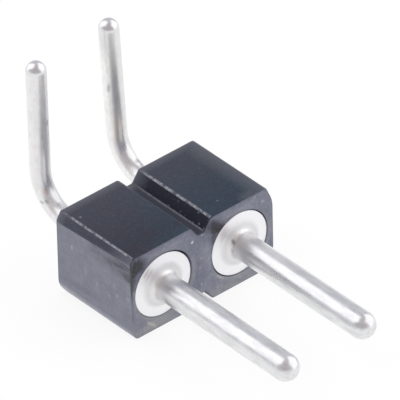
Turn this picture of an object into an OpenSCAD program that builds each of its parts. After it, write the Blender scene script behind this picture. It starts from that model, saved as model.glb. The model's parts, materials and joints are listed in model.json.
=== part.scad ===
// Two-position right-angle pin header with turned contact pins.
// The row of pins runs along X, the mating pins point along -Y and the solder tails turn up to +Z.
// The origin is the middle of the row, on the pin axes, in the plane of the mating face.
// All sizes are in millimetres.

/* [Insulator] */
// Distance between the axes of the two pins
pitch = 2.54; // [2.4:0.01:3]
// Height of the insulator
body_h = 2.54; // [2.3:0.01:3]
// Depth of the insulator, from the mating face to the rear face
body_d = 2.81; // [2:0.01:4]
// Height of the pin axes above the underside
axis_h = 1.26; // [1.15:0.01:1.35]
// Distance from the left pin's axis to the cut left end
left_end = 1.12; // [1.05:0.01:1.2]
// Distance from the right pin's axis to the cut right end
right_end = 1.12; // [1.05:0.01:1.2]
// Distance from the left pin's axis to the upper shoulder, where the left end starts to slope
left_shoulder = 0.965; // [0.8:0.005:1]
// Distance from the left pin's axis to the lower shoulder of the left end
left_lower_shoulder = 0.905; // [0.8:0.005:1]
// Distance from the right pin's axis to the shoulders where the right end starts to slope
right_shoulder = 0.905; // [0.8:0.005:1]
// Height of the slopes at the right end
right_slope_h = 0.49; // [0.2:0.01:0.6]

/* [Break groove] */
// Width of the groove between the cells, at its mouth
groove_w = 0.68; // [0.4:0.01:0.8]
// Width of the groove's flat floor
groove_floor_w = 0.22; // [0.1:0.01:0.35]
// Depth of the groove
groove_depth = 0.33; // [0.15:0.01:0.45]

/* [Mating pin] */
// Diameter of the mating pin
mating_d = 0.73; // [0.5:0.01:0.9]
// Length of the mating pin, from the mating face to its domed tip
mating_l = 4.95; // [3:0.05:8]
// Radius of the fillet at the root of the mating pin
root_fillet = 0.25; // [0.1:0.01:0.35]

/* [Collar and shank] */
// Diameter of the collar disc
collar_d = 1.83; // [1.65:0.01:1.9]
// Thickness of the collar disc
collar_t = 0.5; // [0.3:0.05:1]
// How far the collar disc lies behind the mating face
collar_recess = 0.02; // [0:0.01:0.1]
// Diameter of the shank inside the insulator
shank_d = 1.3; // [1:0.05:1.5]
// How far the shank stops short of the rear face
shank_recess = 0.15; // [0.05:0.05:0.5]

/* [Solder tail] */
// Diameter of the solder tail
tail_d = 0.54; // [0.4:0.01:0.65]
// Straight length of tail between the rear face and the bend
tail_setback = 0.85; // [0.3:0.05:2]
// Radius of the bend, at the middle of the tail
bend_r = 1.05; // [0.6:0.05:1.6]
// Angle through which the left tail is bent
left_bend = 89.5; // [80:0.5:95]
// Angle through which the right tail is bent
right_bend = 86.5; // [80:0.5:95]
// How much thinner the metal is drawn in the bend, on the diameter
bend_draw = 0.01; // [0.004:0.002:0.04]
// Height of the tips of the tails above the pin axes
tail_h = 4.34; // [3:0.02:8]

/* [Fits] */
// Gap all round the collar disc in its counterbore
collar_gap = 0.03; // [0.01:0.01:0.05]
// Gap all round the shank in its bore
shank_gap = 0.01; // [0.005:0.005:0.05]

/* [Hidden] */
$fn = 96;
// How far a cutting shape runs past the face that it opens
overrun = 0.5;
mating_r = mating_d / 2;
collar_r = collar_d / 2;
shank_r = shank_d / 2;
tail_r = tail_d / 2;
left_axis = -pitch / 2;
right_axis = pitch / 2;
// How far the drawn metal of the bend runs into the straight stretches, as an angle
bend_lap = 1;
// Places along a contact pin, measured forwards from the mating face
collar_front = -collar_recess;
collar_back = collar_front - collar_t;
shank_back = shank_recess - body_d;
bend_start = -body_d - tail_setback;
// Width of a groove wall for each millimetre of its depth
wall_run = (groove_w - groove_floor_w) / 2 / groove_depth;

// Corners of the insulator's outline along one long side, from the left end to the right end.
// The side lies at a height of rise above the pin axes. The left shoulder is given from the left axis.
function side_corners(rise, shoulder) = [
    [left_axis - left_end, rise - (left_end - shoulder) / wall_run],
    [left_axis - shoulder, rise],
    [-groove_w / 2, rise],
    [-groove_floor_w / 2, rise - groove_depth],
    [groove_floor_w / 2, rise - groove_depth],
    [groove_w / 2, rise],
    [right_axis + right_shoulder, rise],
    [right_axis + right_end, rise - right_slope_h]
];

// Outline of the insulator, seen along the pins
module body_outline() {
    upper = side_corners(body_h - axis_h, left_shoulder);
    lower = side_corners(axis_h, left_lower_shoulder);
    last = len(lower) - 1;
    polygon(concat(upper, [for (i = [last:-1:0]) [lower[i][0], -lower[i][1]]]));
}

// Shapes drawn forwards along the pin axis are stood along -Y
module along_pin() {
    rotate([90, 0, 0]) children();
}

// Counterbored hole that a contact pin sits in
module pin_hole() {
    along_pin() {
        translate([0, 0, collar_back])
            cylinder(r = collar_r + collar_gap, h = overrun - collar_back);
        translate([0, 0, -body_d - overrun])
            cylinder(r = shank_r + shank_gap, h = body_d + overrun);
    }
}

// Black moulded bar of two cells
module insulator() {
    color("#3a3d45")
    difference() {
        translate([0, body_d, 0])
            along_pin()
            linear_extrude(body_d)
            body_outline();
        for (x = [left_axis, right_axis])
            translate([x, 0, 0]) pin_hole();
    }
}

// Half section of a round bar from one place to another along its axis
module bar_section(r, from, to) {
    translate([0, from]) square([r, to - from]);
}

// Half section of a bar's domed end
module dome_section(r, at) {
    translate([0, at])
        intersection() {
            circle(r);
            square(r);
        }
}

// Half section of the hollow fillet between the mating pin and its collar
module fillet_section() {
    difference() {
        translate([mating_r, collar_front]) square(root_fillet);
        translate([mating_r + root_fillet, collar_front + root_fillet]) circle(root_fillet);
    }
}

// Straight turned stretch of a contact pin, from its domed tip to the start of the bend
module turned_blank() {
    along_pin()
        rotate_extrude()
        union() {
            dome_section(mating_r, mating_l - mating_r);
            bar_section(mating_r, collar_front, mating_l - mating_r);
            fillet_section();
            bar_section(collar_r, collar_back, collar_front);
            bar_section(shank_r, shank_back, collar_back);
            bar_section(tail_r, bend_start, shank_back);
        }
}

// Bend and upright stretch of a tail, from the start of the bend to the domed tip
module bent_tail(angle) {
    bend_top = bend_r * (1 - cos(angle));
    bend_reach = bend_r * sin(angle);
    upright_l = (tail_h - tail_r - bend_top) / sin(angle);
    translate([0, -bend_start, 0]) {
        translate([0, 0, bend_r])
            rotate([0, 90, 0])
            rotate([0, 0, -bend_lap])
            rotate_extrude(angle = angle + 2 * bend_lap)
            translate([bend_r, 0]) circle(d = tail_d - bend_draw);
        translate([0, bend_reach, bend_top])
            rotate([angle - 90, 0, 0])
            rotate_extrude()
            union() {
                bar_section(tail_r, 0, upright_l);
                dome_section(tail_r, upright_l);
            }
    }
}

// One turned contact with its tail bent up
module contact_pin(angle) {
    color("#d5d6d8")
    union() {
        turned_blank();
        bent_tail(angle);
    }
}

module left_pin() {
    translate([left_axis, 0, 0]) contact_pin(left_bend);
}

module right_pin() {
    translate([right_axis, 0, 0]) contact_pin(right_bend);
}

insulator();
left_pin();
right_pin();
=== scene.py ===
import json
import math
from typing import NamedTuple

import bmesh
import bpy
from mathutils import Matrix, Vector


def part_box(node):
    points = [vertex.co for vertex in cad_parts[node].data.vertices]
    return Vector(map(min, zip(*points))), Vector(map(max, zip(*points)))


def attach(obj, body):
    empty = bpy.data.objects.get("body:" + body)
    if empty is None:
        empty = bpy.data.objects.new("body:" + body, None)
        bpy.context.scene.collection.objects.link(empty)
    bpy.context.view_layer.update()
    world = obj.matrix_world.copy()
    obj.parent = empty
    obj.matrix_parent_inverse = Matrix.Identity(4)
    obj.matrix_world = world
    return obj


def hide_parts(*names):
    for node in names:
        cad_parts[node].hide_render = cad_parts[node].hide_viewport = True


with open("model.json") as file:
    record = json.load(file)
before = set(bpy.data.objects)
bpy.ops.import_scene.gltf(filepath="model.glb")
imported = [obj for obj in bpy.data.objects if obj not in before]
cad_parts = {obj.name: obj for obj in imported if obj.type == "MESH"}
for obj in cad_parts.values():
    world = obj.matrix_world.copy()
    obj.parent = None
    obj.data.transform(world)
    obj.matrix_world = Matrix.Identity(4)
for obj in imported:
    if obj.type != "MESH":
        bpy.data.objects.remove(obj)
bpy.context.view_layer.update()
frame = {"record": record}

# Meshes are modelled in millimetres and scaled to metres when they are finished
MM = 0.001


def in_mm(corner):
    return Vector(corner) / MM


mounts = {mount["name"]: mount for mount in frame["record"]["mounts"]}
body_low, body_high = (in_mm(corner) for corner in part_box("insulator"))
SIDES = ("left", "right")
pin_axis = {side: mounts[f"{side}_mating_pin"]["pos_m"][0] / MM for side in SIDES}

# Insulator, in millimetres
GROOVE_W = 0.68
GROOVE_FLOOR_W = 0.22
GROOVE_DEPTH = 0.33
LEFT_SLOPE_W = 0.155
LEFT_LOWER_SLOPE_W = 0.215
RIGHT_SLOPE_W = 0.215
RIGHT_SLOPE_H = 0.49
WALL_RUN = (GROOVE_W - GROOVE_FLOOR_W) / 2 / GROOVE_DEPTH
COUNTERBORE_R = 0.945
COUNTERBORE_DEPTH = 0.52
BORE_R = 0.66
BORE_LIP = 0.012
# Middle of each hole from its pin's axis: the left collar sits low and to the left in its hole
HOLE_SHIFT = {"left": Vector((0.016, 0, 0.012)), "right": Vector((0, 0, 0))}
FRONT_RIM = 0.035
REAR_RIM = 0.11
# How far the snapped left end is drawn in at the front, at its upper and at its lower corner
UPPER_DRAW = 0.06
LOWER_DRAW = 0.09
BORE_SEGMENTS = 96
EDGE_SEGMENTS = 4
RIM_SEGMENTS = 5

# Finishes of the insulator's faces, by material index
MOULDED, FACE, END, GROOVE, EDGE, FAINT_EDGE, RIM = range(7)
# Rounding and finish of the corners along a long side: at the left end, in the groove and at the right end
UPPER_LEFT_ROUNDINGS = ((0.05, MOULDED), (0.035, EDGE))
LOWER_LEFT_ROUNDINGS = ((0.14, END), (0.06, EDGE))
GROOVE_ROUNDINGS = ((0.06, MOULDED), (0.045, MOULDED), (0.03, FAINT_EDGE), (0.042, EDGE))
RIGHT_ROUNDINGS = ((0.075, MOULDED), (0.16, END))

# Contact pins, in millimetres and degrees
COLLAR_R = 0.915
COLLAR_FRONT = 0.02
COLLAR_BACK = 0.52
COLLAR_BREAK = 0.02
ROOT_FILLET = 0.145
ROOT_CONE_R = 0.61
ROOT_CONE = 20
CONE_ROUNDING = 0.08
SHANK_R = 0.65
SHANK_RECESS = 0.15
TAIL_SETBACK = 0.85
BEND_R = 1.05
SHARP_ANGLE = 50
PIN_SEGMENTS = 72
BEND_STEPS = 28
ARC_STEPS = 10
BREAK_STEPS = 3

# Points closer than this are merged, and points this close to a plane lie in it, in millimetres
MERGE_DISTANCE = 1e-5
LEVEL_TOLERANCE = 1e-4
# A face is square to an axis if its normal has this much of it, and upright if it has less than this of Z
SQUARE_ON = 0.9
UPRIGHT = 0.5


def finish_object(name, bm, materials):
    """Scales a mesh to metres, makes it a piece at the origin and rides it on the one body."""
    bmesh.ops.remove_doubles(bm, verts=bm.verts, dist=MERGE_DISTANCE)
    bmesh.ops.recalc_face_normals(bm, faces=bm.faces)
    bmesh.ops.scale(bm, vec=(MM, MM, MM), verts=bm.verts)
    for face in bm.faces:
        face.smooth = True
    mesh = bpy.data.meshes.new(name)
    bm.to_mesh(mesh)
    bm.free()
    for material in materials:
        mesh.materials.append(material)
    piece = bpy.data.objects.new(name, mesh)
    bpy.context.scene.collection.objects.link(piece)
    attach(piece, "root")
    return piece


# Insulator

def side_corners(rise, left_slope_w, left_roundings):
    """(x, height, rounding, finish) of the corners along one long side, from the left end to the right."""
    left, right = body_low.x, body_high.x
    places = [
        (left, rise - left_slope_w / WALL_RUN),
        (left + left_slope_w, rise),
        (-GROOVE_W / 2, rise),
        (-GROOVE_FLOOR_W / 2, rise - GROOVE_DEPTH),
        (GROOVE_FLOOR_W / 2, rise - GROOVE_DEPTH),
        (GROOVE_W / 2, rise),
        (right - RIGHT_SLOPE_W, rise),
        (right, rise - RIGHT_SLOPE_H),
    ]
    roundings = left_roundings + GROOVE_ROUNDINGS + RIGHT_ROUNDINGS
    return [(*place, *rounding) for place, rounding in zip(places, roundings)]


def flat_finish(face):
    """Finish of one flat face of the sharp-edged bar, from the way it faces."""
    if abs(face.normal.y) > SQUARE_ON:
        return FACE
    if abs(face.normal.x) > SQUARE_ON:
        return END
    in_groove = abs(face.calc_center_median().x) < GROOVE_W / 2
    return GROOVE if in_groove and abs(face.normal.z) < SQUARE_ON else MOULDED


def slide_corner(corner, drawn, upward):
    """Slides a front corner of the snapped left end inwards along the slope above or below it."""
    corner.co.x += drawn
    corner.co.z += upward * drawn / WALL_RUN


def in_plane(vert, level):
    return abs(vert.co.y - level) < LEVEL_TOLERANCE


def sharp_bar(bm):
    """Extrudes the outline to the rear. Returns (edge, rounding, finish) of the long edges."""
    upper = side_corners(body_high.z, LEFT_SLOPE_W, UPPER_LEFT_ROUNDINGS)
    under = side_corners(-body_low.z, LEFT_LOWER_SLOPE_W, LOWER_LEFT_ROUNDINGS)
    lower = [(x, -rise, *rest) for x, rise, *rest in under]
    outline = upper + lower[::-1]
    ring = [bm.verts.new((x, body_low.y, z)) for x, z, *_ in outline]
    front = bmesh.ops.contextual_create(bm, geom=ring)["faces"]
    made = bmesh.ops.extrude_face_region(bm, geom=front)["geom"]
    rear = [item for item in made if isinstance(item, bmesh.types.BMVert)]
    bmesh.ops.translate(bm, vec=(0, body_high.y - body_low.y, 0), verts=rear)
    slide_corner(ring[0], UPPER_DRAW, 1)
    slide_corner(ring[-1], LOWER_DRAW, -1)
    bmesh.ops.recalc_face_normals(bm, faces=bm.faces)
    long_edges = []
    for vert, (*_, rounding, finish) in zip(ring, outline):
        edge = next(e for e in vert.link_edges if not in_plane(e.other_vert(vert), body_low.y))
        long_edges.append((edge, rounding, finish))
    return long_edges


def bevel_edges(bm, edges, width, segments):
    made = bmesh.ops.bevel(
        bm, geom=edges, offset=width, offset_type="OFFSET", segments=segments, profile=0.5,
        affect="EDGES", material=-1, clamp_overlap=True,
    )
    return made["faces"]


def rim_edges(bm, level):
    return [e for e in bm.edges if all(in_plane(v, level) for v in e.verts)]


def circle_edges(bm, centre, radius):
    """A circle of loose edges round the middle of a hole."""
    place = Matrix.Translation(centre) @ Matrix.Rotation(math.pi / 2, 4, "X")
    verts = bmesh.ops.create_circle(
        bm, cap_ends=False, segments=BORE_SEGMENTS, radius=radius, matrix=place
    )["verts"]
    return list(dict.fromkeys(edge for vert in verts for edge in vert.link_edges))


def next_ring(bm, edges, move, centre, grow):
    """Extrudes a ring of edges, moves the new ring and scales it about its own centre."""
    made = bmesh.ops.extrude_edge_only(bm, edges=edges)["geom"]
    verts = [item for item in made if isinstance(item, bmesh.types.BMVert)]
    bmesh.ops.translate(bm, vec=move, verts=verts)
    bmesh.ops.scale(bm, vec=(grow, grow, grow), space=Matrix.Translation(-centre), verts=verts)
    return [item for item in made if isinstance(item, bmesh.types.BMEdge) and item.is_boundary]


def open_face(bm, level, openings):
    """Replaces the flat face at one end of the bar by the same face with round openings."""
    flat = [f for f in bm.faces if all(in_plane(v, level) for v in f.verts)]
    face = max(flat, key=lambda f: f.calc_area())
    outline = list(face.edges)
    normal = face.normal.copy()
    bmesh.ops.delete(bm, geom=[face], context="FACES_ONLY")
    rings = [circle_edges(bm, Vector((middle.x, level, middle.z)), radius) for middle, radius in openings]
    edges = outline + [e for ring in rings for e in ring]
    filled = bmesh.ops.triangle_fill(bm, use_beauty=True, edges=edges, normal=normal)["geom"]
    for item in filled:
        if isinstance(item, bmesh.types.BMFace):
            item.material_index = FACE
    return rings


def bore_walls(bm, hole, bore, front_ring, rear_ring):
    """Lines one counterbored hole, from its lip at the front face to the ring at the rear face."""
    ring = front_ring
    radius = COUNTERBORE_R + BORE_LIP
    stations = [
        (hole, BORE_LIP, COUNTERBORE_R),
        (hole, COUNTERBORE_DEPTH, COUNTERBORE_R),
        (bore, COUNTERBORE_DEPTH, BORE_R),
    ]
    here = hole + Vector((0, body_low.y, 0))
    for middle, depth, station_r in stations:
        centre = middle + Vector((0, body_low.y + depth, 0))
        ring = next_ring(bm, ring, centre - here, centre, station_r / radius)
        here, radius = centre, station_r
    walls = bmesh.ops.bridge_loops(bm, edges=ring + rear_ring)["faces"]
    for face in walls:
        face.material_index = GROOVE


def build_insulator(materials):
    bm = bmesh.new()
    long_edges = sharp_bar(bm)
    for face in bm.faces:
        face.material_index = flat_finish(face)
    for edge, rounding, finish in long_edges:
        for face in bevel_edges(bm, [edge], rounding, EDGE_SEGMENTS):
            face.material_index = finish
    for level, rounding in ((body_low.y, FRONT_RIM), (body_high.y, REAR_RIM)):
        for face in bevel_edges(bm, rim_edges(bm, level), rounding, RIM_SEGMENTS):
            face.material_index = RIM if abs(face.normal.z) < UPRIGHT else MOULDED
    bores = [Vector((pin_axis[side], 0, 0)) for side in SIDES]
    holes = [bore + HOLE_SHIFT[side] for bore, side in zip(bores, SIDES)]
    front_rings = open_face(bm, body_low.y, [(hole, COUNTERBORE_R + BORE_LIP) for hole in holes])
    rear_rings = open_face(bm, body_high.y, [(bore, BORE_R) for bore in bores])
    for openings in zip(holes, bores, front_rings, rear_rings):
        bore_walls(bm, *openings)
    piece = finish_object("moulded_insulator", bm, materials)
    weighted = piece.modifiers.new("flat_faces_stay_flat", "WEIGHTED_NORMAL")
    weighted.keep_sharp = True
    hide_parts("insulator")


# Contact pins

def arc(centre, radius, start, end, steps):
    """(radius, y) points on an arc of a half section; angles in degrees from the radius direction."""
    points = []
    for step in range(steps + 1):
        angle = math.radians(start + (end - start) * step / steps)
        points.append((centre[0] + radius * math.cos(angle), centre[1] + radius * math.sin(angle)))
    return points


def turned_section(tip_y, mating_r, tail_r):
    """Half section of the turned stretch, from the domed tip to the start of the bend, as (radius, y)."""
    turn = math.radians(ROOT_CONE)
    cone_start_r = mating_r + ROOT_FILLET * (1 - math.sin(turn))
    cone_start_y = COLLAR_FRONT - (ROOT_CONE_R - cone_start_r) * math.tan(turn)
    fillet_centre = (mating_r + ROOT_FILLET, cone_start_y - ROOT_FILLET * math.cos(turn))
    cone_end = (ROOT_CONE_R + CONE_ROUNDING / 2, COLLAR_FRONT - CONE_ROUNDING)
    break_centre = (COLLAR_R - COLLAR_BREAK, COLLAR_FRONT + COLLAR_BREAK)
    shank_back = body_high.y - SHANK_RECESS
    return [
        *arc((0, tip_y + mating_r), mating_r, -90, 0, ARC_STEPS),
        *arc(fillet_centre, ROOT_FILLET, 180, 90 + ROOT_CONE, ARC_STEPS),
        *arc(cone_end, CONE_ROUNDING, 90 + ROOT_CONE, 90, BREAK_STEPS),
        *arc(break_centre, COLLAR_BREAK, -90, 0, BREAK_STEPS),
        (COLLAR_R, COLLAR_BACK),
        (SHANK_R, COLLAR_BACK),
        (SHANK_R, shank_back),
        (tail_r, shank_back),
        (tail_r, body_high.y + TAIL_SETBACK),
    ]


def ring_verts(ring):
    return list(dict.fromkeys(v for e in ring for v in e.verts))


def domed_end(bm, ring, centre, direction, radius):
    """Closes a ring of edges with a dome in rings that shrink towards its pole."""
    rise = 0
    width = radius
    for step in range(1, ARC_STEPS):
        angle = math.pi / 2 * step / ARC_STEPS
        move = direction * (radius * math.sin(angle) - rise)
        rise = radius * math.sin(angle)
        grow = radius * math.cos(angle) / width
        width = radius * math.cos(angle)
        ring = next_ring(bm, ring, move, centre + direction * rise, grow)
    last = next_ring(bm, ring, (0, 0, 0), centre + direction * rise, 1)
    bmesh.ops.pointmerge(bm, verts=ring_verts(last), merge_co=centre + direction * radius)


def build_pin(side, material):
    x = pin_axis[side]
    pin_low, pin_high = (in_mm(corner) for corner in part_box(f"{side}_pin"))
    mating_r = mounts[f"{side}_mating_pin"]["dims"]["r_mm"]
    tail = mounts[f"{side}_solder_tail"]
    tail_r = tail["dims"]["r_mm"]
    direction = Vector(tail["axis"]).normalized()
    bend = math.atan2(direction.z, direction.y)
    bm = bmesh.new()
    section = turned_section(pin_low.y, mating_r, tail_r)
    verts = [bm.verts.new((x + r, y, 0)) for r, y in section]
    edges = [bm.edges.new(pair) for pair in zip(verts, verts[1:])]
    bmesh.ops.spin(
        bm, geom=verts + edges, cent=(x, 0, 0), axis=(0, 1, 0), angle=math.tau,
        steps=PIN_SEGMENTS, use_merge=True,
    )
    bmesh.ops.remove_doubles(bm, verts=bm.verts, dist=MERGE_DISTANCE)
    bend_start = body_high.y + TAIL_SETBACK
    ring = [e for e in rim_edges(bm, bend_start) if e.is_boundary]
    swept = bmesh.ops.spin(
        bm, geom=ring_verts(ring) + ring, cent=(x, bend_start, BEND_R), axis=(1, 0, 0), angle=bend,
        steps=BEND_STEPS,
    )["geom_last"]
    ring = [item for item in swept if isinstance(item, bmesh.types.BMEdge)]
    bend_end = Vector((x, bend_start + BEND_R * math.sin(bend), BEND_R * (1 - math.cos(bend))))
    upright = (pin_high.z - tail_r - bend_end.z) / direction.z
    dome_centre = bend_end + direction * upright
    ring = next_ring(bm, ring, direction * upright, dome_centre, 1)
    domed_end(bm, ring, dome_centre, direction, tail_r)
    piece = finish_object(f"turned_{side}_pin", bm, [material])
    piece.data.set_sharp_from_angle(angle=math.radians(SHARP_ANGLE))
    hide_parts(f"{side}_pin")


# Nodes of the materials

def give(tree, socket, value):
    """Links a socket to another one, or sets its value."""
    if isinstance(value, bpy.types.NodeSocket):
        tree.links.new(value, socket)
    else:
        socket.default_value = value


def wire(tree, node, inputs):
    for name, value in inputs.items():
        give(tree, node.inputs[name], value)


def add_node(tree, kind, inputs, **settings):
    """Adds a node with its settings and wires its inputs."""
    node = tree.nodes.new(kind)
    for name, value in settings.items():
        setattr(node, name, value)
    wire(tree, node, inputs)
    return node


def new_material(name):
    """A material with its node tree, its shader and the piece's own coordinates."""
    material = bpy.data.materials.new(name)
    material.use_nodes = True
    tree = material.node_tree
    place = tree.nodes.new("ShaderNodeTexCoord").outputs["Object"]
    return material, tree, tree.nodes["Principled BSDF"], place


def coordinates(tree, place):
    """The X, Y and Z of a place."""
    return add_node(tree, "ShaderNodeSeparateXYZ", {"Vector": place}).outputs


def distance(tree, place):
    """How far a place lies from the origin of its coordinates."""
    return add_node(tree, "ShaderNodeVectorMath", {0: place}, operation="LENGTH").outputs["Value"]


def stretched(tree, place, scale, centre=(0, 0, 0)):
    """The coordinates about a centre given in millimetres, scaled along each axis."""
    shift = [-c * MM * k for c, k in zip(centre, scale)]
    return add_node(tree, "ShaderNodeMapping", {
        "Vector": place, "Location": shift, "Scale": scale,
    }).outputs["Vector"]


def calculate(tree, operation, *values):
    return add_node(tree, "ShaderNodeMath", dict(enumerate(values)), operation=operation).outputs["Value"]


def multiply(tree, first, second):
    return calculate(tree, "MULTIPLY", first, second)


def with_share(tree, base, extra, share):
    """A base value with a share of an extra one added."""
    return calculate(tree, "MULTIPLY_ADD", extra, share, base)


def strongest(tree, masks):
    """The strongest of some masks at each place."""
    total = masks[0]
    for mask in masks[1:]:
        total = calculate(tree, "MAXIMUM", total, mask)
    return total


def remap(tree, value, low, high, to_low=0, to_high=1):
    return add_node(tree, "ShaderNodeMapRange", {
        "Value": value, "From Min": low, "From Max": high, "To Min": to_low, "To Max": to_high,
    }).outputs["Result"]


def fade(tree, coordinate, start, end, at_start=0, at_end=1):
    """Fades from one value to another between two places in millimetres."""
    return remap(tree, coordinate, start * MM, end * MM, at_start, at_end)


def fade_out(tree, coordinate, start, end):
    return fade(tree, coordinate, start, end, 1, 0)


def lessened(tree, mask, least=0):
    """1 outside a mask, and down to a least value where the mask is 1."""
    return remap(tree, mask, 0, 1, 1, least)


# Soft noise lies mostly in the wide range, and is sharpened to patches over the narrow one
WIDE_NOISE = (0.3, 0.7)
NARROW_NOISE = (0.35, 0.65)


def cloud(tree, place, size, detail=3, distortion=0):
    """Soft noise with patches of about a size in millimetres."""
    return add_node(tree, "ShaderNodeTexNoise", {
        "Vector": place, "Scale": 1 / (size * MM), "Detail": detail, "Distortion": distortion,
    }).outputs["Fac"]


def spread(tree, clouds, least, most):
    """Soft noise spread from a least to a most value."""
    return remap(tree, clouds, *WIDE_NOISE, least, most)


def patches_of(tree, clouds):
    """Soft noise sharpened to patches of 0 and 1 with soft borders."""
    return remap(tree, clouds, *NARROW_NOISE)


def blend(tree, mask, outside, inside):
    """Blends from the outside colour to the inside one as a mask goes from 0 to 1."""
    mix = add_node(tree, "ShaderNodeMix", {}, data_type="RGBA")
    sockets = {socket.identifier: socket for socket in mix.inputs}
    for name, value in (("Factor_Float", mask), ("A_Color", outside), ("B_Color", inside)):
        give(tree, sockets[name], value)
    return next(socket for socket in mix.outputs if socket.identifier == "Result_Color")


def bumps(tree, height, depth):
    """Surface relief; depth is in millimetres."""
    return add_node(tree, "ShaderNodeBump", {"Height": height, "Distance": depth * MM}).outputs["Normal"]


# How far the border of a mark wanders, for most marks, for the loose painted dark reflections on the front
# face and for the drawn streaks painted as reflection on the tails
RAGGED = 0.4
LOOSE = 0.7
DRAWN = 0.2
# A mark is full from its middle to this share of its radii
MARK_CORE = 0.5
# Marks on a flat face reach this far in and out of it, in millimetres
MARK_DEPTH = 1


class Mark(NamedTuple):
    """A soft mark: centre and radii in millimetres, strength up to 1, turn about each axis in degrees."""
    centre: tuple
    radii: tuple
    strength: float = 1
    turn: tuple = (0, 0, 0)
    ragged: float = RAGGED


def front_mark(x, z, half_w, half_h, strength=1, tilt=0, ragged=RAGGED):
    """A mark on the front face, tilted by some degrees."""
    return Mark((x, body_low.y, z), (half_w, MARK_DEPTH, half_h), strength, (0, tilt, 0), ragged)


def end_mark(y, z, half_w, half_h, strength=1, tilt=0):
    """A mark on the left end, tilted by some degrees."""
    return Mark((body_low.x, y, z), (MARK_DEPTH, half_w, half_h), strength, (tilt, 0, 0))


def rim_mark(z, half_h):
    """A mark on the upright rim between the front face and the left end."""
    return Mark((body_low.x + UPPER_DRAW, body_low.y, z), (MARK_DEPTH, MARK_DEPTH, half_h))


def spot(tree, place, mark):
    """Mask of a mark: its strength in the middle, falling to 0 at its ragged border."""
    near = add_node(tree, "ShaderNodeMapping", {
        "Vector": place,
        "Location": [c * MM for c in mark.centre],
        "Rotation": [math.radians(angle) for angle in mark.turn],
        "Scale": [r * MM for r in mark.radii],
    }, vector_type="TEXTURE").outputs["Vector"]
    wander = cloud(tree, place, min(mark.radii))
    border = with_share(tree, distance(tree, near), wander, mark.ragged * 2)
    mask = remap(tree, border, 1 + mark.ragged, MARK_CORE + mark.ragged)
    return multiply(tree, mask, mark.strength)


def spots(tree, place, marks):
    return strongest(tree, [spot(tree, place, mark) for mark in marks])


# Dust specks: radius in millimetres, full share of the radius, and the share of places that have none
SPECK_R = 0.045
SPECK_CORE = 0.4
SPECK_GAPS = 0.5
DUST = (0.50, 0.51, 0.53, 1)


def specks(tree, place, spacing):
    """Dust specks about a spacing in millimetres apart, some faint: up to 1 in a speck, 0 outside."""
    cells = add_node(tree, "ShaderNodeTexVoronoi", {"Vector": place, "Scale": 1 / (spacing * MM)})
    radius = SPECK_R / spacing
    inside = remap(tree, cells.outputs["Distance"], radius, radius * SPECK_CORE)
    chance = add_node(tree, "ShaderNodeSeparateColor", {"Color": cells.outputs["Color"]}).outputs["Red"]
    return multiply(tree, inside, remap(tree, chance, SPECK_GAPS, 1))


def dusted(tree, place, skin, spacing, haze=0.12, strength=0.45):
    """A skin colour with a mottle of up to a haze of 1 and with dust specks of up to a strength of 1."""
    mottle = remap(tree, cloud(tree, place, size=0.07, detail=4), low=0.5, high=0.8, to_high=haze)
    hazy = blend(tree, mottle, skin, DUST)
    return blend(tree, multiply(tree, specks(tree, place, spacing), strength), hazy, DUST)


# Plastic of the long sides
SLATE = (0.014, 0.015, 0.032, 1)
TEAL_SLATE = (0.010, 0.028, 0.052, 1)
REAR_SLATE = (0.040, 0.045, 0.068, 1)
GROOVE_FLOOR_SLATE = (0.034, 0.037, 0.054, 1)
SLOPE_SLATE = (0.026, 0.031, 0.058, 1)
RUBBED_SLOPE = (0.115, 0.121, 0.160, 1)
PALE_BORDER = (0.142, 0.146, 0.172, 1)
RUBBED_TOP = Mark((1.80, body_low.y, body_high.z), (0.6, 0.35, MARK_DEPTH), 0.35)
# How much the teal is held back at the left and helped at the right
TEAL_BIAS = (-0.15, 0.25)
# Where each colour starts to come in and where it is full, along X, Y or Z in millimetres
TEAL_STRETCH = (-2.2, 0.6)
REAR_STRETCH = (0.5, 2.8)
GROOVE_FLOOR_STRETCH = (1.04, 0.97)
LEFT_SLOPE_STRETCH = (-2.22, -2.27)
RUBBED_STRETCH = (0.9, 0)
REAR_BORDER = (2.48, 2.80)
RIGHT_BORDER = (1.6, 2.2)


def moulded_plastic():
    """Dark slate skin of the long sides with fine dust, greyer to the rear and paler along two borders."""
    material, tree, shader, place = new_material("moulded_plastic")
    across, along, height = coordinates(tree, place)
    rightward = fade(tree, across, *TEAL_STRETCH, *TEAL_BIAS)
    clouds = cloud(tree, place, size=0.9, distortion=0.6)
    hue = patches_of(tree, calculate(tree, "ADD", clouds, rightward))
    skin = blend(tree, hue, SLATE, TEAL_SLATE)
    aged = blend(tree, fade(tree, along, *REAR_STRETCH), skin, REAR_SLATE)
    on_groove_floor = fade(tree, height, *GROOVE_FLOOR_STRETCH, at_end=0.7)
    hazed = blend(tree, on_groove_floor, aged, GROOVE_FLOOR_SLATE)
    slope = blend(tree, fade(tree, along, *RUBBED_STRETCH), SLOPE_SLATE, RUBBED_SLOPE)
    sloped = blend(tree, fade(tree, across, *LEFT_SLOPE_STRETCH), hazed, slope)
    borders = strongest(tree, [
        fade(tree, along, *REAR_BORDER, at_end=0.75),
        fade(tree, across, *RIGHT_BORDER, at_end=0.7),
        spot(tree, place, RUBBED_TOP),
    ])
    bordered = blend(tree, borders, sloped, PALE_BORDER)
    wire(tree, shader, {
        "Base Color": dusted(tree, place, bordered, spacing=0.5, haze=0.05),
        "Roughness": spread(tree, cloud(tree, place, size=0.2), least=0.3, most=0.46),
        "IOR": 1.45,
        "Normal": bumps(tree, cloud(tree, place, size=0.06, detail=4), depth=0.001),
    })
    return material


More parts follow.
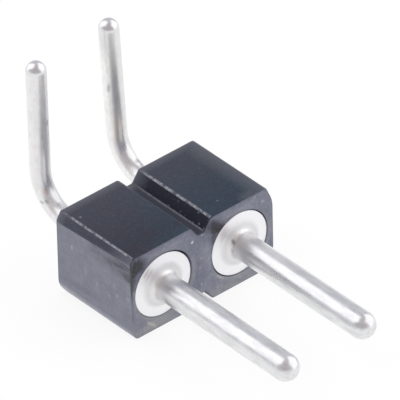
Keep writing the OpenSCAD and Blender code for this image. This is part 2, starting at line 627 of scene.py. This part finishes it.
# Plastic of the front and rear faces
FACE_DARK = (0.034, 0.040, 0.094, 1)
FACE_LIGHT = (0.058, 0.066, 0.128, 1)
FACE_GREY = (0.21, 0.20, 0.195, 1)
# Near-black of the painted dark reflection of the pins on the front face
DARK_REFLECTION = (0.008, 0.006, 0.003, 1)
HALO = (0.27, 0.265, 0.275, 1)
SMEAR = (0.33, 0.325, 0.29, 1)
CHIP = (0.50, 0.51, 0.55, 1)
# Painted dark reflection of each pin on the front face, at the upper left of its hole
DARK_REFLECTION_MARKS = [
    front_mark(-2.14, 0.93, 0.44, 0.29, tilt=-40, ragged=LOOSE),
    front_mark(-2.20, 0.96, 0.17, 0.34),
    front_mark(-2.28, 0.60, 0.13, 0.42, 0.8),
    front_mark(0.50, 0.88, 0.40, 0.24, 0.95, tilt=37, ragged=LOOSE),
    front_mark(0.40, 0.60, 0.10, 0.26, 0.55),
]
SMEARS = [
    front_mark(-1.685, -1.03, 0.24, 0.075, tilt=42),
    front_mark(-1.60, -1.06, 0.55, 0.14, 0.3),
    front_mark(0.585, -0.715, 0.19, 0.04, 0.8, tilt=42),
]
FRONT_CHIPS = [
    front_mark(-0.30, 0.82, 0.055, 0.055),
    front_mark(0.027, 0.887, 0.035, 0.035, 0.5),
    front_mark(-0.017, 0.196, 0.04, 0.04, 0.35),
    front_mark(-0.015, -0.637, 0.035, 0.035, 0.4),
    front_mark(0.876, 1.038, 0.04, 0.04, 0.3),
    front_mark(2.041, 0.93, 0.06, 0.06, 0.35),
]
# Where the face turns grey under the holes, along Z
UNDER_HOLES = (-0.7, -1.15)
# Where a hole's halo is full and ends, from the middle of the hole, and how strong it is
HALO_REACH = (0.98, 1.12)
HALO_STRENGTH = 0.5
# Rise to the right of a line through the hole: the halo starts just above it and is full some way below it
HALO_SLANT = 0.6
HALO_SIDE = (0.1, -0.4)


def hole_halo(tree, place, side):
    """Pale brim outside the lower right half of a hole: 1 at the hole and 0 a little way out."""
    outward = stretched(tree, place, (1, 0, 1), HOLE_SHIFT[side] + Vector((pin_axis[side], 0, 0)))
    x, _, z = coordinates(tree, outward)
    above_line = with_share(tree, z, x, -HALO_SLANT)
    near_hole = fade_out(tree, distance(tree, outward), *HALO_REACH)
    return multiply(tree, fade(tree, above_line, *HALO_SIDE), near_hole)


def chipped(tree, place, skin, marks):
    """A skin colour with pale nicks."""
    for mark in marks:
        skin = blend(tree, spot(tree, place, mark), skin, CHIP)
    return skin


def satin_face():
    """Lighter satin skin of the front and rear faces, clouded and dusty, with marks round the holes and a
    painted dark reflection of each pin at the upper left of its hole.
    """
    material, tree, shader, place = new_material("satin_face")
    clouds = cloud(tree, place, size=0.3)
    skin = blend(tree, clouds, FACE_DARK, FACE_LIGHT)
    _, _, height = coordinates(tree, place)
    under_holes = multiply(tree, fade(tree, height, *UNDER_HOLES), clouds)
    greyed = blend(tree, under_holes, skin, FACE_GREY)
    thin_places = remap(tree, cloud(tree, place, size=0.06), low=0.35, high=0.6, to_low=0.82)
    # Painted dark reflection of the pins, broken up in thin places
    dark_reflections = multiply(tree, spots(tree, place, DARK_REFLECTION_MARKS), thin_places)
    darkly_reflected = blend(tree, dark_reflections, greyed, DARK_REFLECTION)
    halos = strongest(tree, [hole_halo(tree, place, side) for side in SIDES])
    haloed = blend(tree, multiply(tree, halos, HALO_STRENGTH), darkly_reflected, HALO)
    smeared = blend(tree, spots(tree, place, SMEARS), haloed, SMEAR)
    gloss = spread(tree, cloud(tree, place, size=0.14, detail=4), least=0.65, most=1)
    wire(tree, shader, {
        "Base Color": chipped(tree, place, dusted(tree, place, smeared, spacing=0.26), FRONT_CHIPS),
        "Roughness": 0.4,
        "IOR": 1.6,
        "Specular Tint": (0.68, 0.75, 1.0, 1),
        "Coat Weight": multiply(tree, gloss, lessened(tree, dark_reflections)),
        "Coat Roughness": 0.28,
        "Coat IOR": 2.0,
        "Normal": bumps(tree, cloud(tree, place, size=0.05, detail=4), depth=0.0015),
    })
    return material


# Plastic of the snapped ends
END_DARK = (0.030, 0.034, 0.080, 1)
END_LIGHT = (0.056, 0.062, 0.122, 1)
# Dark colour painted on the left end, as dark reflection at its upper front
END_PAINTED_DARK = (0.022, 0.024, 0.036, 1)
# The strokes and the painted dark marks rise towards the front at this angle in degrees
STROKE_ANGLE = -8
# Marks painted darker on the left end: the three at the upper front are painted dark reflection, the faint
# one low towards the rear is a darker patch
END_PAINTED_DARK_MARKS = [
    end_mark(0.42, 0.90, 0.85, 0.19, tilt=STROKE_ANGLE),
    end_mark(0, 0.68, 0.65, 0.20, tilt=-STROKE_ANGLE),
    end_mark(0.45, 0.90, 1.6, 0.50, 0.5),
    end_mark(1.9, -0.63, 1.3, 0.13, 0.25),
]
END_CHIPS = [
    end_mark(2.215, 0.496, 0.04, 0.09, 0.35),
    end_mark(1.31, -0.17, 0.04, 0.10, 0.2),
    end_mark(0.66, 0.12, 0.06, 0.13, 0.13),
    end_mark(0.56, -0.13, 0.05, 0.09, 0.2),
    end_mark(0.86, -0.285, 0.06, 0.06, 0.16),
    end_mark(0.14, -0.02, 0.08, 0.10, 0.16),
    end_mark(1.72, 0, 0.07, 0.16, 0.08),
]


def snapped_end():
    """Ends where the bar was snapped off its neighbours: hazy, with painted dark reflection at the upper
    front.
    """
    material, tree, shader, place = new_material("snapped_end")
    clouds = cloud(tree, place, size=0.3)
    along_strokes = add_node(tree, "ShaderNodeMapping", {
        "Vector": place, "Rotation": (math.radians(-STROKE_ANGLE), 0, 0),
    }).outputs["Vector"]
    drawn_out = stretched(tree, along_strokes, (1, 0.2, 1))
    strokes = cloud(tree, drawn_out, size=0.10, detail=4)
    haze = remap(tree, with_share(tree, strokes, clouds, share=0.6), low=0.5, high=1.1)
    skin = blend(tree, haze, END_DARK, END_LIGHT)
    furrows = cloud(tree, drawn_out, size=0.12, detail=2, distortion=0.5)
    thin_places = remap(tree, furrows, low=0.35, high=0.6, to_low=0.55)
    # Painted dark reflection at the upper front of the end, broken up in thin places, and a faint darker
    # patch low towards the rear
    painted_dark = multiply(tree, spots(tree, place, END_PAINTED_DARK_MARKS), thin_places)
    painted_dark_end = dusted(tree, place, blend(tree, painted_dark, skin, END_PAINTED_DARK), spacing=0.4)
    gloss = spread(tree, clouds, least=0.74, most=0.94)
    wire(tree, shader, {
        "Base Color": chipped(tree, place, painted_dark_end, END_CHIPS),
        "Roughness": 0.45,
        "IOR": 1.6,
        "Specular Tint": (0.72, 0.80, 1.0, 1),
        "Coat Weight": multiply(tree, gloss, lessened(tree, painted_dark, least=0.2)),
        "Coat Roughness": 0.3,
        "Coat IOR": 2.0,
        "Normal": bumps(tree, strokes, depth=0.0012),
    })
    return material


# Plastic of the groove walls and pin holes
GROOVE_DARK = (0.006, 0.008, 0.016, 1)
GROOVE_LIGHT = (0.016, 0.019, 0.034, 1)
GROOVE_REAR = (0.108, 0.112, 0.138, 1)
# Where the groove turns paler towards the rear, along Y
GROOVE_REAR_STRETCH = (2.25, 2.8)


def groove_plastic():
    """Dull dark walls of the break groove and of the pin holes, paler at the rear."""
    material, tree, shader, place = new_material("groove_plastic")
    streaks = cloud(tree, stretched(tree, place, (1, 0.15, 1)), size=0.10)
    _, along, _ = coordinates(tree, place)
    skin = blend(tree, streaks, GROOVE_DARK, GROOVE_LIGHT)
    hazed = blend(tree, fade(tree, along, *GROOVE_REAR_STRETCH), skin, GROOVE_REAR)
    wire(tree, shader, {
        "Base Color": dusted(tree, place, hazed, spacing=0.16, haze=0.04, strength=0.25),
        "Roughness": spread(tree, streaks, least=0.45, most=0.6),
        "IOR": 1.32,
        "Specular Tint": (0.80, 0.84, 1.0, 1),
        "Normal": bumps(tree, streaks, depth=0.0015),
    })
    return material


# Plastic of the long edges, pale from wear and from a painted highlight
EDGE_DARK = (0.05, 0.055, 0.085, 1)
EDGE_WORN_HIGHLIT = (0.20, 0.21, 0.25, 1)
# The most wear and painted highlight, on most edges and on the faint one, and where they fall off towards
# the rear, along Y
FULL_WEAR_AND_HIGHLIGHT = 1
FAINT_WEAR_AND_HIGHLIGHT = 0.28
WEAR_AND_HIGHLIGHT_STRETCH = (2.25, 2.7)


def worn_highlit_edge(name, most):
    """Long edges made pale in places by wear and a painted highlight, up to a wear of 1, and less at the
    rear.
    """
    material, tree, shader, place = new_material(name)
    _, along, _ = coordinates(tree, place)
    patchy = remap(tree, cloud(tree, place, size=0.12, detail=4), low=0.36, high=0.6, to_high=most)
    # Pale wear and painted highlight along the edge, less at the rear
    wear_and_highlight = multiply(tree, patchy, fade(tree, along, *WEAR_AND_HIGHLIGHT_STRETCH, at_start=1, at_end=0.2))
    wire(tree, shader, {
        "Base Color": blend(tree, wear_and_highlight, EDGE_DARK, EDGE_WORN_HIGHLIT),
        "Roughness": 0.4,
        "IOR": 1.5,
        "Coat Weight": wear_and_highlight,
        "Coat Roughness": 0.35,
        "Coat IOR": 1.8,
        "Normal": bumps(tree, wear_and_highlight, depth=0.002),
    })
    return material


# Plastic of the upright rims
RIM_DARK = (0.060, 0.066, 0.100, 1)
RIM_LIGHT = (0.090, 0.096, 0.135, 1)
RIM_RUBBED = (0.185, 0.19, 0.235, 1)
RIM_DARKENED = (0.008, 0.008, 0.008, 1)
RUBBED_MIDDLE = rim_mark(-0.25, 0.5)
RUBBED_FOOT = rim_mark(-1.08, 0.6)
# The rim is made near black over its upper part
DARKENED_TOP = rim_mark(0.72, 0.75)


def dull_rim():
    """Upright edges of the end faces, duller than the faces beside them."""
    material, tree, shader, place = new_material("dull_rim")
    clouds = cloud(tree, place, size=0.15)
    skin = blend(tree, clouds, RIM_DARK, RIM_LIGHT)
    half_rubbed = multiply(tree, spot(tree, place, RUBBED_MIDDLE), clouds)
    rubbed = strongest(tree, [half_rubbed, spot(tree, place, RUBBED_FOOT)])
    pale = blend(tree, rubbed, skin, RIM_RUBBED)
    wire(tree, shader, {
        "Base Color": blend(tree, spot(tree, place, DARKENED_TOP), pale, RIM_DARKENED),
        "Roughness": spread(tree, clouds, least=0.4, most=0.55),
        "IOR": 1.8,
    })
    return material


# Tin of the mating pins, of the collars and of the tails
PLATE_DULL = (0.70, 0.705, 0.71, 1)
PLATE_BRIGHT = (0.825, 0.83, 0.835, 1)
# Paler tin painted at the root of each mating pin as light where it mirrors the dark front face
PLATE_PAINTED_LIGHT = (0.93, 0.93, 0.925, 1)
DISC_INNER = (0.72, 0.72, 0.73, 1)
DISC_OUTER = (0.905, 0.905, 0.925, 1)
ROOT_TIN = (0.80, 0.79, 0.78, 1)
SPECKLE = (0.66, 0.66, 0.66, 1)
# Darker tin painted as shade on the right side and at the top of each tail
SHADED_TIN = (0.65, 0.65, 0.66, 1)
DOME_TIN = (0.76, 0.76, 0.77, 1)
# Pale tin of the streaks painted near the bends as reflection
REFLECTION_STREAK_TIN = (0.97, 0.96, 0.96, 1)
# Warmer and cooler tones of the tin on each tail
TAIL_TONES = {
    "left": ((0.895, 0.87, 0.87, 1), (0.85, 0.865, 0.86, 1)),
    "right": ((0.96, 0.95, 0.93, 1), (0.925, 0.93, 0.91, 1)),
}
# How metallic the tin is on the mating pins, and low and high on each tail
PLATE_METAL = 0.92
TAIL_METAL = {"left": (0.70, 0.70), "right": (0.84, 0.97)}
# How strongly the root of each mating pin is painted paler and less metallic, as painted light where it
# mirrors the dark front face
ROOT_PAINTED_LIGHT = {"left": 0.15, "right": 0.85}
# Where the painted shade on the right side of each tail begins and is full, from its axis
TAIL_SHADED_SIDE = {"left": (-0.08, 0.05), "right": (-0.20, -0.13)}
# How strongly the top of each tail is painted as shade, and how far the shaded tin covers the toned tin
TAIL_SHADED_TOP = {"left": 0.1, "right": 1.0}
SHADE_SHARE = 0.5
# Distance between the turning rings of a collar, in millimetres
TURNING_PITCH = 0.5
# Stretches of a pin where its finish changes, along Y in millimetres
ONTO_ROOT = (-2.2, -0.6)
OFF_ROOT = (-0.3, -0.05)
ONTO_COLLAR = (-0.75, -0.25)
OFF_COLLAR = (0.05, 0.3)
ONTO_TAIL = (2.0, 3.0)
# Stretches of a tail where its finish changes, along Z
ONTO_UPRIGHT = (0.7, 1.8)
OFF_UPRIGHT = (3.6, 4.0)
METAL_RISE = (1.0, 3.4)
ONTO_TOP = (3.0, 3.8)
ONTO_DOME = (4.04, 4.14)
# Rings of a collar's face where its finish changes, by their radius
OFF_ROOT_RING = (0.42, 0.52)
ONTO_DISC = (0.56, 0.68)
# Marks on the tails, on the bends, at the roots and on the collars, with their colours
PIN_MARKS = {
    "left": [
        (Mark((-1.169, 4.473, 2.558), (0.06, 0.10, 0.13)), (0.46, 0.46, 0.46, 1)),
        (Mark((-1.150, 4.473, 2.190), (0.05, 0.10, 0.09)), (0.64, 0.64, 0.64, 1)),
        (Mark((-1.397, 4.336, 0.601), (0.07, 0.10, 0.16)), (0.74, 0.66, 0.65, 1)),
        (Mark((-1.538, 4.362, 0.314), (0.09, 0.10, 0.05)), (0.55, 0.55, 0.55, 1)),
        (Mark((-1.486, 4.238, 0.376), (0.08, 0.09, 0.06)), (0.60, 0.60, 0.60, 1)),
        (Mark((-1.265, 3.980, 0.340), (0.09, 0.09, 0.06)), (0.60, 0.60, 0.61, 1)),
        (Mark((-1.800, 0.000, 0.600), (0.18, 0.30, 0.05), turn=(0, -50, 0)), (0.76, 0.75, 0.76, 1)),
        (Mark((-1.690, 0.000, 0.480), (0.20, 0.30, 0.07), turn=(0, -55, 0)), (0.82, 0.79, 0.80, 1)),
    ],
    "right": [
        (Mark((1.025, 4.682, 2.429), (0.065, 0.07, 0.17), turn=(0, 8, 0)), (0.62, 0.62, 0.62, 1)),
        (Mark((1.150, 4.500, 1.250), (0.15, 0.15, 0.80)), (0.975, 0.925, 0.84, 1)),
        # The next two grey marks on the tail's top at the start of the bend are painted dark reflection of
        # the rear face
        (Mark((1.385, 4.030, 0.330), (0.14, 0.08, 0.09)), (0.50, 0.50, 0.51, 1)),
        (Mark((1.425, 3.920, 0.262), (0.07, 0.12, 0.07)), (0.55, 0.55, 0.56, 1)),
        (Mark((0.980, -0.050, 0.180), (0.06, 0.14, 0.17)), (0.34, 0.31, 0.29, 1)),
        # This grey mark at the left of the root is painted dark reflection in the fillet
        (Mark((0.900, -0.020, 0.020), (0.03, 0.20, 0.09)), (0.58, 0.57, 0.56, 1)),
        (Mark((0.760, 0.000, 0.600), (0.22, 0.30, 0.09), turn=(0, -45, 0)), (0.85, 0.82, 0.815, 1)),
    ],
}
# Pale streaks painted near the bends as reflection, where the tin is made whiter and mirrors less
REFLECTION_STREAKS = {
    "left": [
        Mark((-1.405, 4.480, 1.200), (0.10, 0.15, 0.62), 0.6, ragged=DRAWN),
        Mark((-1.347, 4.450, 1.240), (0.045, 0.10, 0.60), ragged=DRAWN),
    ],
    "right": [
        Mark((1.190, 4.470, 1.200), (0.035, 0.10, 0.38), 0.7, ragged=DRAWN),
        Mark((1.045, 4.450, 0.760), (0.07, 0.14, 0.42), 0.4, ragged=DRAWN),
        Mark((1.190, 4.420, 0.780), (0.14, 0.12, 0.16), 0.25, ragged=DRAWN),
    ],
}


def mating_tin(tree, place, root_painted_light):
    """Colour of the mating pin: mottled along its length, and painted paler towards its root as light where
    it mirrors the dark front face.
    """
    mottle = patches_of(tree, cloud(tree, stretched(tree, place, (1, 0.25, 1)), size=0.10))
    plate = blend(tree, mottle, PLATE_DULL, PLATE_BRIGHT)
    return blend(tree, root_painted_light, plate, PLATE_PAINTED_LIGHT)


def collar_tin(tree, outward):
    """Colour of the collar's face: pale disc, greyer inside it, and the root of the mating pin."""
    reach = distance(tree, outward)
    disc = blend(tree, fade(tree, reach, *ONTO_DISC), DISC_INNER, DISC_OUTER)
    return blend(tree, fade_out(tree, reach, *OFF_ROOT_RING), disc, ROOT_TIN)


def tail_tin(tree, place, about_axis, height, side):
    """Colour of a tail: two tones with speckle, and painted shade on its right side and at its top."""
    toned = blend(tree, patches_of(tree, cloud(tree, place, size=0.45)), *TAIL_TONES[side])
    grains = cloud(tree, stretched(tree, place, (1, 1, 0.5)), size=0.10)
    speckle = remap(tree, grains, low=0.4, high=0.7, to_high=0.35)
    speckled = blend(tree, speckle, toned, SPECKLE)
    sideways, _, _ = coordinates(tree, about_axis)
    # Painted shade on the right side and at the top of the tail
    painted_shade = strongest(tree, [
        fade(tree, sideways, *TAIL_SHADED_SIDE[side]),
        fade(tree, height, *ONTO_TOP, at_end=TAIL_SHADED_TOP[side]),
    ])
    return blend(tree, multiply(tree, painted_shade, SHADE_SHARE), speckled, SHADED_TIN)


def turned_relief(tree, place, about_axis, on_collar):
    """Turning rings on the collar over a fine grain all along the pin."""
    rings = add_node(tree, "ShaderNodeTexWave", {
        "Vector": about_axis, "Scale": 1 / (TURNING_PITCH * MM), "Distortion": 1.0, "Detail": 1.0,
    }, wave_type="RINGS", rings_direction="Y").outputs["Fac"]
    grain = cloud(tree, stretched(tree, place, (1, 0.3, 0.5)), size=0.12, detail=1)
    return with_share(tree, grain, multiply(tree, rings, on_collar), share=0.5)


def tin_plate(side):
    """Satin tin over turned brass, with turning rings on the collar, pale streaks painted as reflection on
    the tail, painted light at the root of the mating pin, and marks.
    """
    material, tree, shader, place = new_material(f"tin_plate_{side}")
    about_axis = stretched(tree, place, (1, 1, 1), (pin_axis[side], 0, 0))
    outward = stretched(tree, place, (1, 0, 1), (pin_axis[side], 0, 0))
    _, along, height = coordinates(tree, place)
    on_tail = fade(tree, along, *ONTO_TAIL)
    on_collar = multiply(tree, fade(tree, along, *ONTO_COLLAR), fade_out(tree, along, *OFF_COLLAR))
    # Painted light towards the root of the mating pin, where it mirrors the dark front face
    onto_root = fade(tree, along, *ONTO_ROOT, at_end=ROOT_PAINTED_LIGHT[side])
    root_painted_light = multiply(tree, onto_root, fade_out(tree, along, *OFF_ROOT))
    on_dome = fade(tree, height, *ONTO_DOME)
    # Pale streaks painted near the bends as reflection
    streaks = spots(tree, place, REFLECTION_STREAKS[side])

    turned = blend(tree, on_collar, mating_tin(tree, place, root_painted_light), collar_tin(tree, outward))
    tail = blend(tree, on_dome, tail_tin(tree, place, about_axis, height, side), DOME_TIN)
    colour = blend(tree, on_tail, turned, blend(tree, streaks, tail, REFLECTION_STREAK_TIN))
    for mark, mark_colour in PIN_MARKS[side]:
        colour = blend(tree, spot(tree, place, mark), colour, mark_colour)

    blotches = cloud(tree, stretched(tree, place, (1, 0.4, 0.4)), size=0.14)
    satin = spread(tree, blotches, least=0.26, most=0.33)
    on_upright = multiply(tree, fade(tree, height, *ONTO_UPRIGHT), fade_out(tree, height, *OFF_UPRIGHT))
    roughness = with_share(tree, satin, strongest(tree, [on_collar, on_upright]), share=0.10)

    tail_metal = fade(tree, height, *METAL_RISE, *TAIL_METAL[side])
    reflection_streaked_metal = multiply(tree, tail_metal, lessened(tree, streaks, least=0.15))
    below_dome = multiply(tree, on_tail, lessened(tree, on_dome))
    metal = remap(tree, below_dome, 0, 1, PLATE_METAL, reflection_streaked_metal)
    wire(tree, shader, {
        "Metallic": multiply(tree, metal, lessened(tree, root_painted_light, least=0.75)),
        "Base Color": colour,
        "Roughness": multiply(tree, roughness, lessened(tree, on_dome, least=0.85)),
        "Normal": bumps(tree, turned_relief(tree, place, about_axis, on_collar), depth=0.0002),
    })
    return material


build_insulator([
    moulded_plastic(),
    satin_face(),
    snapped_end(),
    groove_plastic(),
    worn_highlit_edge("worn_highlit_edge", FULL_WEAR_AND_HIGHLIGHT),
    worn_highlit_edge("faint_edge", FAINT_WEAR_AND_HIGHLIGHT),
    dull_rim(),
])
for side in SIDES:
    build_pin(side, tin_plate(side))


# Camera, at the photograph's angle
AZIMUTH = math.radians(-40.2953)
ELEVATION = math.radians(36.5516)
ROLL = math.radians(-1.4076)
CAMERA_DISTANCE = 250 * MM
CLIP_START = 10 * MM
PHOTO_PIXELS = 400
FOCAL_PIXELS = 9988.9
SENSOR_W = 36
AIM_RIGHT = 0.0483 * MM
AIM_UP = -1.5998 * MM


def build_camera():
    back = Vector((
        math.sin(AZIMUTH) * math.cos(ELEVATION),
        -math.cos(AZIMUTH) * math.cos(ELEVATION),
        math.sin(ELEVATION),
    ))
    level_right = Vector((math.cos(AZIMUTH), math.sin(AZIMUTH), 0))
    level_up = back.cross(level_right)
    right = level_right * math.cos(ROLL) + level_up * math.sin(ROLL)
    up = back.cross(right)
    data = bpy.data.cameras.new("camera")
    data.sensor_width = SENSOR_W
    data.lens = SENSOR_W * FOCAL_PIXELS / PHOTO_PIXELS
    data.clip_start = CLIP_START
    camera = bpy.data.objects.new("camera", data)
    place = back * CAMERA_DISTANCE - right * AIM_RIGHT - up * AIM_UP
    camera.matrix_world = Matrix.Translation(place) @ Matrix((right, up, back)).transposed().to_4x4()
    bpy.context.scene.collection.objects.link(camera)
    bpy.context.scene.camera = camera


# Floor, lamps and backdrop
WHITE = (1, 1, 1, 1)
FLOOR_HALF = 300 * MM
FLOOR_GREY = (0.16, 0.16, 0.16, 1)
FLOOR_GLOW = 0.865
SOFTBOX_DISTANCE = 500 * MM
# Brightness of the lamps, where 1 is that of white paper
SOFTBOX_BRIGHTNESS = 0.80
STUDIO_COOL = (0.63, 0.63, 0.67, 1)
STUDIO_WARM = (0.50, 0.46, 0.465, 1)
# Direction of the camera's side of the room, and how far off it the warm grey begins, as a cosine
CAMERA_SIDE = (-0.52, -0.61, 0.60)
WARM_START = 0.2
# How far up the white horizon reaches, as a sine
BACKDROP_RISE = 0.06


def build_floor():
    bm = bmesh.new()
    bmesh.ops.create_grid(bm, x_segments=1, y_segments=1, size=FLOOR_HALF)
    bmesh.ops.translate(bm, vec=(0, 0, body_low.z * MM), verts=bm.verts)
    mesh = bpy.data.meshes.new("floor")
    bm.to_mesh(mesh)
    bm.free()
    floor = bpy.data.objects.new("floor", mesh)
    bpy.context.scene.collection.objects.link(floor)
    material, tree, shader, _ = new_material("white_table")
    wire(tree, shader, {
        "Base Color": FLOOR_GREY,
        "Roughness": 1.0,
        "Specular IOR Level": 0.0,
        "Emission Color": WHITE,
        "Emission Strength": FLOOR_GLOW,
    })
    mesh.materials.append(material)


def softbox(name, direction, width, height, roll):
    """A lamp that faces the object, rolled about its own axis by some degrees; its size is in metres."""
    lamp = bpy.data.lights.new(name, "AREA")
    lamp.shape = "RECTANGLE"
    lamp.size = width
    lamp.size_y = height
    lamp.energy = SOFTBOX_BRIGHTNESS * math.pi * width * height
    box = bpy.data.objects.new(name, lamp)
    direction = Vector(direction).normalized()
    facing = direction.to_track_quat("Z", "Y").to_matrix().to_4x4()
    turn = facing @ Matrix.Rotation(math.radians(roll), 4, "Z")
    box.matrix_world = Matrix.Translation(direction * SOFTBOX_DISTANCE) @ turn
    box.visible_camera = False
    bpy.context.scene.collection.objects.link(box)


def build_world():
    """A grey studio, cool behind the object and warm behind the camera, with a white horizon."""
    world = bpy.data.worlds.new("studio")
    world.use_nodes = True
    tree = world.node_tree
    direction = tree.nodes.new("ShaderNodeTexCoord").outputs["Generated"]
    facing = add_node(tree, "ShaderNodeVectorMath", {
        0: direction, 1: CAMERA_SIDE,
    }, operation="DOT_PRODUCT").outputs["Value"]
    room = blend(tree, remap(tree, facing, WARM_START, 1), STUDIO_COOL, STUDIO_WARM)
    _, _, rise = coordinates(tree, direction)
    overhead = remap(tree, rise, BACKDROP_RISE / 2, BACKDROP_RISE)
    wire(tree, tree.nodes["Background"], {"Color": blend(tree, overhead, WHITE, room)})
    bpy.context.scene.world = world


build_camera()
build_floor()
softbox("left_softbox", direction=(-0.40, 0.66, 0.635), width=0.51, height=0.78, roll=-21)
softbox("right_softbox", direction=(0.718, -0.4145, 0.559), width=0.80, height=0.62, roll=0)
build_world()
bpy.context.scene.view_settings.view_transform = "Standard"
